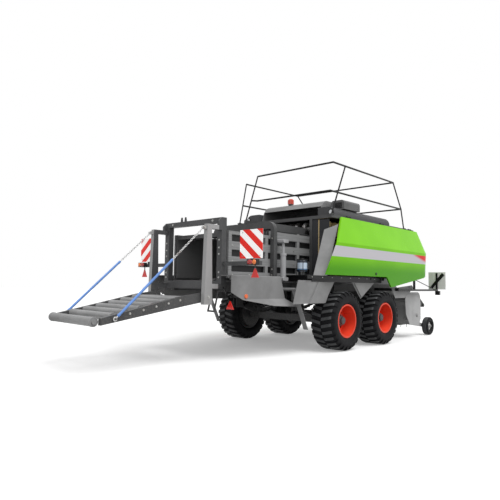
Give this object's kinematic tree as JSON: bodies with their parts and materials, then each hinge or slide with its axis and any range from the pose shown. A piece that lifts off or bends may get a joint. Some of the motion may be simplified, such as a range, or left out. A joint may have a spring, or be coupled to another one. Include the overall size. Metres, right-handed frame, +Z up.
{
  "type": "large square baler",
  "caption": "Towed farm baler on tandem wheels with a tined pickup, long bale chamber, hinged side panels, guard-railed deck and a folding rear chute.",
  "frame": {"origin": "middle of the machine's outline on the floor", "axes": "+X forward along the line of travel, +Y to the left, +Z up"},
  "size_m": [9.9793, 3.04, 3.4026],
  "materials": {
    "dark_frame": "satin dark grey paint",
    "mid_grey": "satin grey paint",
    "light_grey": "satin light grey paint",
    "black_trim": "satin black paint",
    "green_panel": "gloss green moulded skin with a pale stripe",
    "rim_red": "gloss red-orange paint",
    "tyre": "black rubber",
    "bare_steel": "worn steel",
    "chamber_sheet": "grey paint over pressed sheet",
    "board": "retroreflective red and white diagonals",
    "board_back": "plain sheet",
    "lamp": "red and amber lenses",
    "beacon": "amber dome",
    "dark_plastic": "moulded dark grey plastic",
    "twine": "wound twine on shelves",
    "reservoir": "clear grease reservoir",
    "sleeve": "blue sleeve over chain"
  },
  "bodies": {
    "root": {"main_frame": "dark_frame", "frame_brackets": "dark_frame", "axles": "dark_frame", "leaf_springs": "dark_frame", "chamber_floor": "chamber_sheet", "chamber_left": "chamber_sheet", "chamber_right": "chamber_sheet", "chamber_top": "dark_frame", "plunger": "chamber_sheet", "rear_frame": "dark_frame", "density_yoke": "dark_frame", "density_cylinders": "mid_grey", "packer_channel": "dark_frame", "gearbox": "dark_frame", "drawbar": "dark_frame", "hitch_ring": "bare_steel", "jack_tube": "black_trim", "side_ledges": "black_trim", "fenders": "light_grey", "rear_shrouds": "light_grey", "twine_racks": "twine", "rear_covers": "light_grey", "top_frame": "dark_frame", "guard_rails": "black_trim", "knotter_deck": "dark_frame", "knotters": "bare_steel", "knotter_hood": "mid_grey", "beacon": "beacon", "top_fairings": "dark_plastic", "air_box": "dark_plastic", "front_hood": "green_panel", "warning_boards": "board", "rear_lamps": "lamp", "reflectors": "lamp", "front_boards": "board_back", "front_board_arms": "black_trim", "grease_reservoir": "reservoir", "needle_guard": "mid_grey", "chains": "sleeve"},
    "panel_left": {"side_panel_left": "green_panel"},
    "panel_right": {"side_panel_right": "green_panel"},
    "pickup": {"pickup_frame": "light_grey", "pickup_lift_arms": "light_grey", "windguard": "black_trim"},
    "reel": {"pickup_reel": "mid_grey"},
    "lid": {"press_lid": "dark_frame"},
    "gauge_left": {"gauge_wheel_left": "tyre"},
    "gauge_right": {"gauge_wheel_right": "tyre"},
    "flywheel": {"flywheel": "dark_frame"},
    "jack": {"jack_leg": "bare_steel"},
    "chute": {"chute_frame": "dark_frame", "chute_rollers": "mid_grey"},
    "wheel_front_left": {"tyre_front_left": "tyre", "rim_front_left": "rim_red"},
    "wheel_front_right": {"tyre_front_right": "tyre", "rim_front_right": "rim_red"},
    "wheel_rear_left": {"tyre_rear_left": "tyre", "rim_rear_left": "rim_red"},
    "wheel_rear_right": {"tyre_rear_right": "tyre", "rim_rear_right": "rim_red"}
  },
  "joints": [
    {"name": "front_left_spin", "type": "hinge", "parent": "root", "child": "wheel_front_left", "pos_m": [0.942, 1.205, 0.53], "axis": [0, 1, 0], "continuous": true},
    {"name": "front_right_spin", "type": "hinge", "parent": "root", "child": "wheel_front_right", "pos_m": [0.942, -1.205, 0.53], "axis": [0, 1, 0], "continuous": true},
    {"name": "rear_left_spin", "type": "hinge", "parent": "root", "child": "wheel_rear_left", "pos_m": [-0.468, 1.205, 0.53], "axis": [0, 1, 0], "continuous": true},
    {"name": "rear_right_spin", "type": "hinge", "parent": "root", "child": "wheel_rear_right", "pos_m": [-0.468, -1.205, 0.53], "axis": [0, 1, 0], "continuous": true},
    {"name": "left_panel_lift", "type": "hinge", "parent": "root", "child": "panel_left", "pos_m": [0.237, 1.235, 2.446], "axis": [1, 0, 0], "range_deg": [0, 75]},
    {"name": "right_panel_lift", "type": "hinge", "parent": "root", "child": "panel_right", "pos_m": [0.237, -1.235, 2.446], "axis": [-1, 0, 0], "range_deg": [0, 75]},
    {"name": "pickup_lift", "type": "hinge", "parent": "root", "child": "pickup", "pos_m": [2.137, 0, 0.9], "axis": [0, -1, 0], "range_deg": [0, 12]},
    {"name": "reel_spin", "type": "hinge", "parent": "pickup", "child": "reel", "pos_m": [2.857, 0, 0.5], "axis": [0, 1, 0], "continuous": true},
    {"name": "left_gauge_spin", "type": "hinge", "parent": "pickup", "child": "gauge_left", "pos_m": [3.567, 1.16, 0.214], "axis": [0, 1, 0], "continuous": true},
    {"name": "right_gauge_spin", "type": "hinge", "parent": "pickup", "child": "gauge_right", "pos_m": [3.567, -1.16, 0.214], "axis": [0, 1, 0], "continuous": true},
    {"name": "flywheel_spin", "type": "hinge", "parent": "root", "child": "flywheel", "pos_m": [2.937, 0, 1.9], "axis": [1, 0, 0], "continuous": true},
    {"name": "lid_lift", "type": "hinge", "parent": "root", "child": "lid", "pos_m": [-1.738, 0, 2.05], "axis": [0, 1, 0], "range_deg": [0, 6]},
    {"name": "jack_slide", "type": "slide", "parent": "root", "child": "jack", "axis": [0, 0, 1], "range_m": [0, 0.4]},
    {"name": "chute_fold", "type": "hinge", "parent": "root", "child": "chute", "pos_m": [-3.173, 0, 0.96], "axis": [0, 1, 0], "range_deg": [0, 78], "deforming": ["chains"]}
  ]
}
